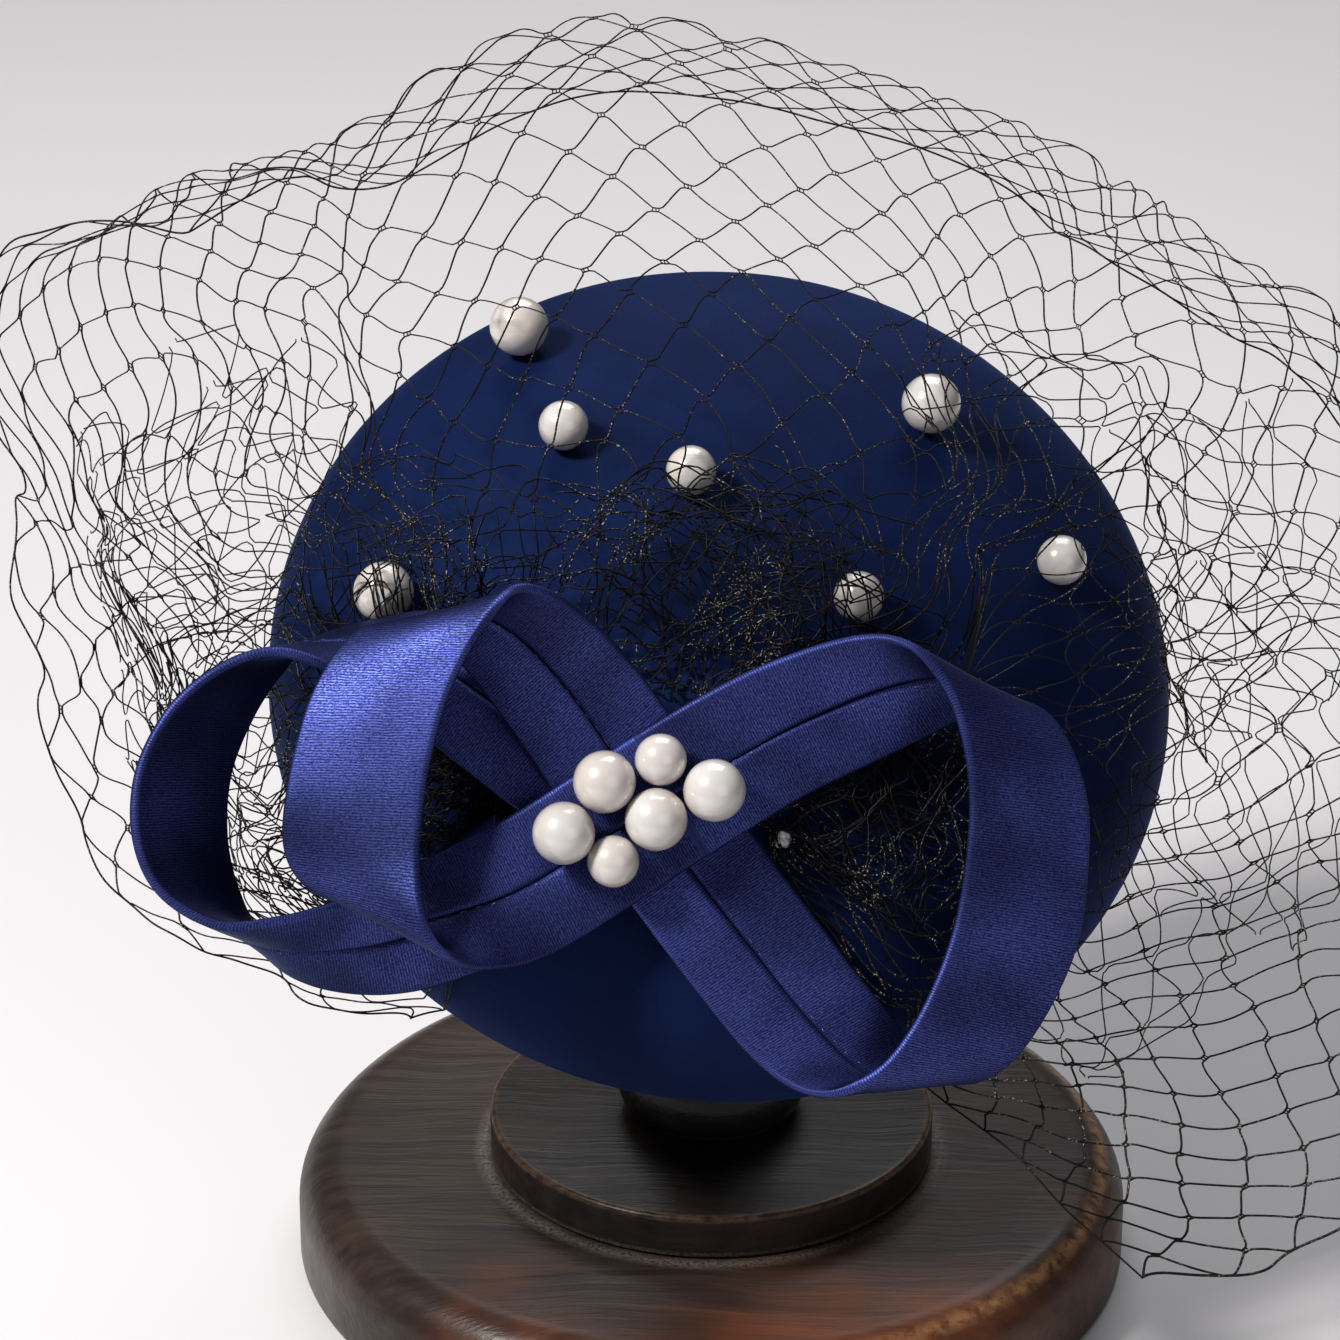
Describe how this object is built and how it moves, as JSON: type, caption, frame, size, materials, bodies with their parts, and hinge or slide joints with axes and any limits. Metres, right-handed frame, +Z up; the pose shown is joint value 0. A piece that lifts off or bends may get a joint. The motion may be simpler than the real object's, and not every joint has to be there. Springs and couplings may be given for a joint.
{
  "type": "fascinator on a display stand",
  "caption": "Domed satin disc fascinator with a ribbon bow, a side loop, pearls and a fan of coarse net, leaning on a turned wooden stand with a round stepped foot.",
  "frame": {"origin": "centre of the underside of the stand's round base", "axes": "+Z up along the stand's post, -Y towards the front where the bow faces, +X to the viewer's right"},
  "size_m": [0.296, 0.1842, 0.2406],
  "materials": {
    "dark_wood": "dark brown stained hardwood, half gloss, worn to copper brown along the edge",
    "navy_satin": "smooth navy satin stretched over a stiff shell",
    "comb_steel": "plain bright wire comb",
    "cream_pearl": "warm white pearl lustre",
    "black_net": "stiff black knotted veiling",
    "blue_ribbon": "royal navy satin ribbon with a fine cross weave"
  },
  "bodies": {
    "root": {"stand_base": "dark_wood", "stand_step": "dark_wood", "stand_post": "dark_wood", "hat_base": "navy_satin", "hair_comb": "comb_steel", "pearl_hat_1": "cream_pearl", "pearl_hat_2": "cream_pearl", "pearl_hat_3": "cream_pearl", "pearl_hat_4": "cream_pearl", "pearl_hat_5": "cream_pearl", "pearl_hat_6": "cream_pearl", "pearl_hat_7": "cream_pearl", "veil_net": "black_net", "bow_ribbon": "blue_ribbon", "side_loop": "blue_ribbon", "pearl_cluster_1": "cream_pearl", "pearl_cluster_2": "cream_pearl", "pearl_cluster_3": "cream_pearl", "pearl_cluster_4": "cream_pearl", "pearl_cluster_5": "cream_pearl", "pearl_cluster_6": "cream_pearl"}
  },
  "joints": []
}
